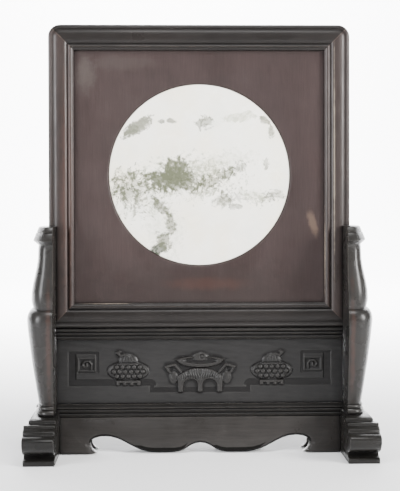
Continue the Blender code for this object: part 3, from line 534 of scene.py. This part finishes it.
for node in ("post_left", "post_right"):
    addPiece(node.replace("post", "vase_post"), easedCopy(node, postLook), "standWood", "stand_wood", node,
             sharpAngle=postLook["sharpAngle"])
for node in ("foot_left", "foot_right"):
    addPiece(node.replace("foot", "scroll_foot"), easedCopy(node, footLook), "footWood", "stand_wood", node,
             sharpAngle=footLook["sharpAngle"])
# the reeded bars take the darker wood, painted shade
for node in ("upper_crossbar", "lower_crossbar"):
    addPiece(node.replace("crossbar", "reeded_bar"), easedCopy(node, barLook), "shadedBarWood", "stand_wood", node)
for node in ("apron_front", "apron_rear"):
    piece = addPiece(node.replace("apron", "cusped_apron"), easedCopy(node, apronLook), "apronWood", "stand_wood", node)
    # painted shade: the apron's faces that look down take the darker wood
    piece.data.materials.append(finishes["shadedUnderWood"])
    for face in piece.data.polygons:
        face.material_index = int(face.normal.z < apronLook["underTilt"])
print("stand is made")


# The relief is a sheet of points whose heights come from these shapes. Lengths in the three dictionaries are in
# millimetres, with x from the middle of the panel and z from the ground, and heights are above the panel's face.
panel = {
    "halfLength": 161.2, "base": 55.6, "top": 127.7, "front": -8.0, "back": 6.0, "columns": 620, "rows": 139,
    "channelDepth": 2.4, "channelSteep": 3.4, "lip": (0.6, 0.35, 0.45), "spread": 30, "depthShade": 0.34,
    "rimEase": 2.0, "joinEase": 0.01,
    "line": ((-1.0, 67.1), (56.8, 67.1), (56.8, 75.3), (148.2, 75.3), (148.2, 114.2)), "slopes": (6.2, 5.2, 7.6, 8.8),
    "fretOuter": (114.2, 148.2, 89.6, 114.2), "fretGroove": 3.6, "fretInner": (117.2, 138.6, 90.3, 107.6),
    "fretCurl": ((123.0, 94.4), (122.4, 99.5), (125.2, 103.0), (130.0, 102.8), (132.6, 99.6), (130.6, 96.4), (127.6, 97.4),
                 (127.9, 99.8)),
}
vessel = {
    "x": 81.0, "bodyZ": 92.0, "bodyHalf": (23.6, 10.9), "bodyRise": 3.0,
    "rows": ((96.3, 5, 6.5), (91.2, 6, 6.6), (86.0, 5, 6.4)), "bossRadius": 2.9, "bossRise": 1.5, "bossGroove": 0.9,
    "toothRise": 1.5, "footRise": 1.7, "collarRise": 3.0, "ribCut": 0.55, "finialRise": 1.9,
    "collarZ": 99.6, "collarHalf": (9.9, 1.3), "lidZ": 102.2, "lidHalf": (11.0, 9.1), "lidRise": 2.4,
    "ribs": (-0.62, -0.22, 0.22, 0.62), "footHalf": 13.6, "footZ": (75.7, 81.2), "teeth": 4,
    "finial": ((1.0, 109.2), (4.4, 110.6), (8.4, 108.9), (12.6, 112.6), (9.4, 113.4)), "finialHalf": 1.35,
}
tripod = {
    "shoulder": 25.8, "sag": 10.0, "bodyTop": 95.6, "waist": 27.2, "base": 68.0, "legs": (0.0, 22.0), "legHalf": 2.9,
    "bodyRise": 2.6, "archX": 10.6, "archHalf": (8.2, 7.6), "archZ": 75.2,
    "lidHalf": 26.0, "lidZ": 104.4, "lidDip": 8.3, "lidCrown": 3.6, "well": (0.4, 103.6, 18.0, 3.5),
    "knob": (0.4, 106.6, 9.6, 6.4), "eye": (2.0, 108.4, 2.2), "lobe": (29.8, 84.0), "lobeHalf": (5.4, 7.4),
    "handleOver": ((38.2, 96.2), (35.4, 97.5), (28.6, 98.8), (25.4, 95.0), (21.6, 90.6)),
    "handleUnder": ((37.8, 95.6), (36.0, 92.2), (33.6, 89.8)),
    "handleHalf": 1.35, "handleHole": (32.0, 94.0, 2.3),
    "hairPitch": 2.7, "hairCut": 0.75, "maskBase": 82.5, "maskHalf": 21.5, "brows": (13.4, 22.6),
    "lobeRise": 2.1, "hullRise": 2.9, "wellDepth": 2.2, "knobRise": 2.7, "eyeCut": 1.1, "overRise": 2.6, "underRise": 2.2,
}

gridX, gridZ = np.meshgrid(
    np.linspace(-panel["halfLength"], panel["halfLength"], panel["columns"] + 1),
    np.linspace(panel["base"], panel["top"], panel["rows"] + 1))
gridX, gridZ = gridX.ravel(), gridZ.ravel()


# a height far below any on the panel, so that a shape leaves what is outside it alone
outOfReach = 99


def step(distance, soft):
    # 1 well inside a shape, 0 outside, eased over its edge
    t = np.clip(0.5 - distance / soft, 0.0, 1.0)
    return t * t * (3 - 2 * t)


def ellipse(x, z, half, halfHeight):
    return (np.hypot((gridX - x) / half, (gridZ - z) / halfHeight) - 1) * min(half, halfHeight)


def slab(x0, x1, z0, z1, corner):
    u = np.abs(gridX - (x0 + x1) / 2) - (x1 - x0) / 2 + corner
    v = np.abs(gridZ - (z0 + z1) / 2) - (z1 - z0) / 2 + corner
    return np.hypot(np.maximum(u, 0), np.maximum(v, 0)) + np.minimum(np.maximum(u, v), 0) - corner


def stroke(points, width, x=None):
    # distance from a bent line with some thickness, measured in x where it is given, such as for a shape on both halves
    across = gridX if x is None else x
    best = np.full(across.shape, 1e9)
    for (ax, az), (bx, bz) in zip(points, points[1:]):
        dx, dz = bx - ax, bz - az
        t = np.clip(((across - ax) * dx + (gridZ - az) * dz) / (dx * dx + dz * dz), 0, 1)
        best = np.minimum(best, np.hypot(across - ax - dx * t, gridZ - az - dz * t))
    return best - width


def dome(height, x, z, half, halfHeight, rise):
    # a swelling with an elliptical outline
    inside = 1 - ((gridX - x) / half) ** 2 - ((gridZ - z) / halfHeight) ** 2
    return np.maximum(height, np.where(inside > 0, rise * np.sqrt(np.clip(inside, 0, 1)), -outOfReach))


def lift(height, distance, rise, soft=0.7):
    return np.maximum(height, rise * step(distance, soft) - outOfReach * (distance > soft / 2))


def sink(height, distance, depth, soft=0.7):
    return height - depth * step(distance, soft)


def channelFall(share):
    # a slope that is steepest at its upper arris
    return np.minimum(1 - 0.35 * share, (1 - np.clip(share, 0, 1)) * panel["channelSteep"])


def channelHeights():
    # a sloped channel inside the bent line of the frame, with a slight lip along its upper arris
    across = np.abs(gridX)
    depth = np.zeros(gridX.shape)
    corners = panel["line"]
    lip = np.full(gridX.shape, 1e9)
    lipPlace, lipHalf, lipRise = panel["lip"]
    for start, end, slope in zip(corners, corners[1:], panel["slopes"]):
        run = Vector(end) - Vector(start)
        length = run.length
        run /= length
        along = (across - start[0]) * run.x + (gridZ - start[1]) * run.y
        aside = (gridZ - start[1]) * run.x - (across - start[0]) * run.y
        nearby = (along > -panel["joinEase"]) & (along < length + panel["joinEase"]) & (aside >= 0) & (aside < slope)
        depth = np.maximum(depth, np.where(nearby, panel["channelDepth"] * channelFall(aside / slope), 0))
        lip = np.minimum(lip, np.where((along > 0) & (along < length), np.abs(aside + lipPlace) - lipHalf, 1e9))
    # the slope turns round the line's one inward corner
    reflex = corners[2]
    away = np.hypot(across - reflex[0], gridZ - reflex[1])
    bend = (across < reflex[0]) & (gridZ > reflex[1]) & (away < panel["slopes"][2])
    depth = np.maximum(depth, np.where(bend, panel["channelDepth"] * channelFall(away / panel["slopes"][2]), 0))
    return -depth + lipRise * step(lip, 0.6) * (depth < 0.01)


def fretHeights(height):
    # squared scroll at each end: a groove round three sides and a curl on the small square inside
    x0, x1, z0, z1 = panel["fretOuter"]
    across = np.abs(gridX)
    groove = panel["fretGroove"]
    deep = panel["channelDepth"]
    path = ((x1 - 1.2, z1 - groove / 2), (x0 + groove / 2, z1 - groove / 2), (x0 + 1.2, z0 + 1.0), (x1 - 10.6, z0 + 1.0))
    height = np.minimum(height, -deep * step(stroke(path[:3], groove / 2 - 0.4, across), 0.8))
    height = np.minimum(height, -deep * 0.8 * step(stroke(path[2:], 0.7, across), 0.7))
    i0, i1, j0, j1 = panel["fretInner"]
    inner = np.maximum(np.abs(across - (i0 + i1) / 2) - (i1 - i0) / 2, np.abs(gridZ - (j0 + j1) / 2) - (j1 - j0) / 2)
    height = height + 0.5 * step(np.abs(inner + 1.0) - 0.6, 0.7)
    height = height - 0.9 * step(inner + 2.8, 0.8)
    curl = stroke(panel["fretCurl"], 1.0, across)
    return np.maximum(height, -0.7 + 1.3 * step(curl, 1.0))


def vesselHeights(height, side):
    # toothed foot, round body, collar, ribbed lid with a finial, and rows of bosses over the body
    x, look = side * vessel["x"], vessel
    half, halfHeight = look["bodyHalf"]
    height = sink(height, np.abs(ellipse(x, look["bodyZ"], half + 0.5, halfHeight + 0.5)) - 0.25, 0.7, 0.8)
    left, right = x - look["footHalf"], x + look["footHalf"]
    z0, z1 = look["footZ"]
    pitch = 2 * look["footHalf"] / (2 * look["teeth"] - 1)
    for i in range(look["teeth"]):
        start = left + 2 * i * pitch
        height = lift(height, slab(start, start + pitch, z0, z1, 0.5), look["toothRise"], 0.6)
    height = lift(height, slab(left + 0.8, right - 0.8, z1 - 2.6, z1, 0.4), look["footRise"], 0.6)
    height = dome(height, x, look["bodyZ"], half, halfHeight, look["bodyRise"])
    height = sink(height, np.abs(ellipse(x, look["bodyZ"], half - 2.2, halfHeight - 1.4)) - 0.15, 0.35, 0.6)
    collarHalf, collarHeight = look["collarHalf"]
    collar = slab(x - collarHalf, x + collarHalf, look["collarZ"] - collarHeight, look["collarZ"] + collarHeight, 0.8)
    height = lift(height, collar, look["collarRise"], 0.7)
    lidHalf, lidHeight = look["lidHalf"]
    lidded = dome(height, x, look["lidZ"], lidHalf, lidHeight, look["lidRise"])
    height = np.where(gridZ > look["lidZ"] - 0.8, lidded, height)
    for rib in look["ribs"]:
        foot, tip = (x + rib * lidHalf * 0.9, look["lidZ"] + 0.6), (x + rib * lidHalf * 0.55, look["lidZ"] + 7.4)
        ribLine = stroke((foot, tip), 0.25)
        height = sink(height, ribLine, look["ribCut"], 0.7)
    finial = [(x + side * out, z) for out, z in look["finial"]]
    height = lift(height, stroke(finial, look["finialHalf"]), look["finialRise"], 1.2)
    for z, count, gap in look["rows"]:
        for i in range(count):
            bossX = x + (i - (count - 1) / 2) * gap
            spread = ((bossX - x) / half) ** 2 + ((z - look["bodyZ"]) / halfHeight) ** 2
            ground = look["bodyRise"] * math.sqrt(max(0.0, 1 - spread))
            ring = np.hypot(gridX - bossX, (gridZ - z) * 1.08)
            height = np.where(ring < look["bossRadius"] + 0.7,
                              height - look["bossGroove"] * step(np.abs(ring - look["bossRadius"]) - 0.3, 0.7), height)
            cap = np.sqrt(np.clip(1 - (ring / (look["bossRadius"] - 0.25)) ** 2, 0, 1))
            height = np.where(cap > 0, np.maximum(height, ground - 0.4 + look["bossRise"] * cap), height)
    return height


def tripodHeights(height):
    # curled lobes, body and legs with a mask between them, then the boat-shaped lid, its knob and the two handles
    look = tripod
    across = np.abs(gridX)
    rise = look["bodyRise"]
    lx, lz = look["lobe"]
    for side in (-1, 1):
        height = dome(height, side * lx, lz, *look["lobeHalf"], look["lobeRise"])
        curl = stroke(((lx + 2.6, lz + 3.6), (lx + 3.4, lz - 1.0), (lx + 0.6, lz - 3.2), (lx - 1.2, lz - 0.6)), 0.2, across)
        height = sink(height, curl, 0.7 * (side * gridX > 0), 0.7)
    # body: a saddle of a back that falls away to the haunches, over two arches and three legs
    back = look["bodyTop"] - look["sag"] * (across / look["shoulder"]) ** 2.1
    body = np.maximum(np.maximum(across - look["waist"] + 0.10 * (look["bodyTop"] - gridZ), (gridZ - back) * 0.8),
                      look["base"] + 6.0 - gridZ)
    archHalf, archHeight = look["archHalf"]
    arch = (np.hypot((across - look["archX"]) / archHalf,
                     np.maximum(gridZ - look["archZ"], 0) / archHeight) - 1) * archHeight
    body = np.maximum(body, -arch)
    for legX in look["legs"]:
        leg = np.maximum(np.abs(across - legX) - look["legHalf"] - 0.02 * np.maximum(gridZ - look["base"], 0) ** 1.2,
                         np.maximum(gridZ - 84, look["base"] - gridZ))
        body = np.minimum(body, np.maximum(leg, -arch - 0.4))
    swell = 0.9 * np.clip(-body / 5.0, 0, 1) ** 0.7
    height = np.maximum(height, (rise - 0.6 + swell) * step(body, 0.9) - outOfReach * (body > 0.45))
    inside = body < -0.8
    height = sink(height, np.abs(arch - 1.9) - 0.12, 0.55 * inside, 0.7)
    # hair and brows of the beast mask, combed outwards and down
    splay = 0.16 * np.maximum(look["bodyTop"] - gridZ, 0) ** 1.15
    comb = 0.5 + 0.5 * np.cos(2 * math.pi * (across + splay) / look["hairPitch"] + 0.6 * np.sin(gridZ * 0.9))
    face = (gridZ > look["maskBase"]) & (across < look["maskHalf"]) & inside & (arch > 1.6)
    height = height - np.where(face, look["hairCut"] * comb, 0)
    for x in look["brows"]:
        height = sink(height, stroke(((x, 92.0), (x + 0.8, 85.0)), 0.2, across), 0.8 * inside, 0.7)
    for x in look["legs"]:
        height = sink(height, stroke(((x, 78.0), (x, 70.4)), 0.15, across), 0.6 * inside, 0.7)
    # lid: a boat seen a little from above, its rim round a dished middle
    lens = np.where(gridZ < look["lidZ"], look["lidDip"], look["lidCrown"])
    hull = (np.hypot(gridX / look["lidHalf"], (gridZ - look["lidZ"]) / lens) - 1) * lens
    height = np.where(hull < 1.3, np.minimum(height, -0.5 + 0.4 * np.clip(hull, 0, 1.3)), height)
    height = lift(height, hull, look["hullRise"], 0.8)
    wellX, wellZ, wellHalf, wellHeight = look["well"]
    height = sink(height, ellipse(wellX, wellZ, wellHalf, wellHeight), look["wellDepth"], 1.1)
    height = sink(height, np.abs(ellipse(wellX, wellZ - 0.4, wellHalf + 4.0, wellHeight + 2.2)) - 0.15,
                  0.5 * (hull < -0.5), 0.7)
    knobX, knobZ, knobHalf, knobHeight = look["knob"]
    knobbed = dome(height, knobX, knobZ, knobHalf, knobHeight, look["knobRise"])
    height = np.where(gridZ > knobZ - 3.0, knobbed, height)
    eyeX, eyeZ, eyeRadius = look["eye"]
    height = sink(height, np.abs(np.hypot(gridX - eyeX, gridZ - eyeZ) - eyeRadius) - 0.35, look["eyeCut"], 0.7)
    height = sink(height, stroke(((6.2, 104.8), (7.6, 108.0)), 0.2, across), 0.7, 0.7)
    height = lift(height, stroke(look["handleOver"], look["handleHalf"], across), look["overRise"], 0.9)
    height = lift(height, stroke(look["handleUnder"], look["handleHalf"], across), look["underRise"], 0.9)
    height = sink(height, stroke(look["handleOver"][1:], 0.1, across), 0.4, 0.7)
    holeX, holeZ, holeRadius = look["handleHole"]
    hole = np.hypot(across - holeX, gridZ - holeZ) - holeRadius
    return np.where(hole < 0.5, np.minimum(height, -1.0 + 3.4 * (1 - step(hole, 0.9))), height)


def carveWobble(height):
    # hand cutting: nothing is quite flat
    sway = 0.060 * np.sin(gridX * 0.31 + 1.3 * np.sin(gridZ * 0.17)) + 0.048 * np.sin(gridZ * 0.83 + gridX * 0.11)
    return height + sway


def makeCarvedPanel():
    height = channelHeights()
    height = fretHeights(height)
    for side in (-1, 1):
        height = vesselHeights(height, side)
    height = tripodHeights(height)
    edge = np.minimum(np.minimum(panel["halfLength"] - np.abs(gridX), gridZ - panel["base"]), panel["top"] - gridZ)
    height = carveWobble(height) * np.clip(edge / panel["rimEase"], 0, 1)
    around = height.reshape(panel["rows"] + 1, panel["columns"] + 1)
    # the attribute cut is how far a spot lies below what is round it: deep spots get painted shade with some dirt and
    # old wax, proud ones are rubbed lighter
    for axis in (0, 1) * panel["spread"]:
        around = (np.roll(around, 1, axis) + 2 * around + np.roll(around, -1, axis)) / 4
    cutDepth = (around.ravel() - height + panel["depthShade"] * np.maximum(-height, 0)) * np.clip(edge / 3.0, 0, 1)
    bm = bmesh.new()
    cut = bm.verts.layers.float.new("cut")
    bmesh.ops.create_grid(bm, x_segments=panel["columns"], y_segments=panel["rows"], size=1.0)
    bm.verts.ensure_lookup_table()
    for vert, x, z, rise, depth in zip(bm.verts, gridX, gridZ, height, cutDepth):
        vert.co = (x * mm, (panel["front"] - rise) * mm, z * mm)
        vert[cut] = depth
    rim = [edge for edge in bm.edges if edge.is_boundary]
    grown = bmesh.ops.extrude_edge_only(bm, edges=rim)["geom"]
    for vert in [item for item in grown if isinstance(item, bmesh.types.BMVert)]:
        vert.co.y = panel["back"] * mm
    bmesh.ops.holes_fill(bm, edges=[item for item in grown if isinstance(item, bmesh.types.BMEdge)], sides=0)
    addPiece("relief_panel", bm, "carvedWood", "carved_wood", "carved_panel", sharpAngle=60)


makeCarvedPanel()
print("carved panel is made")
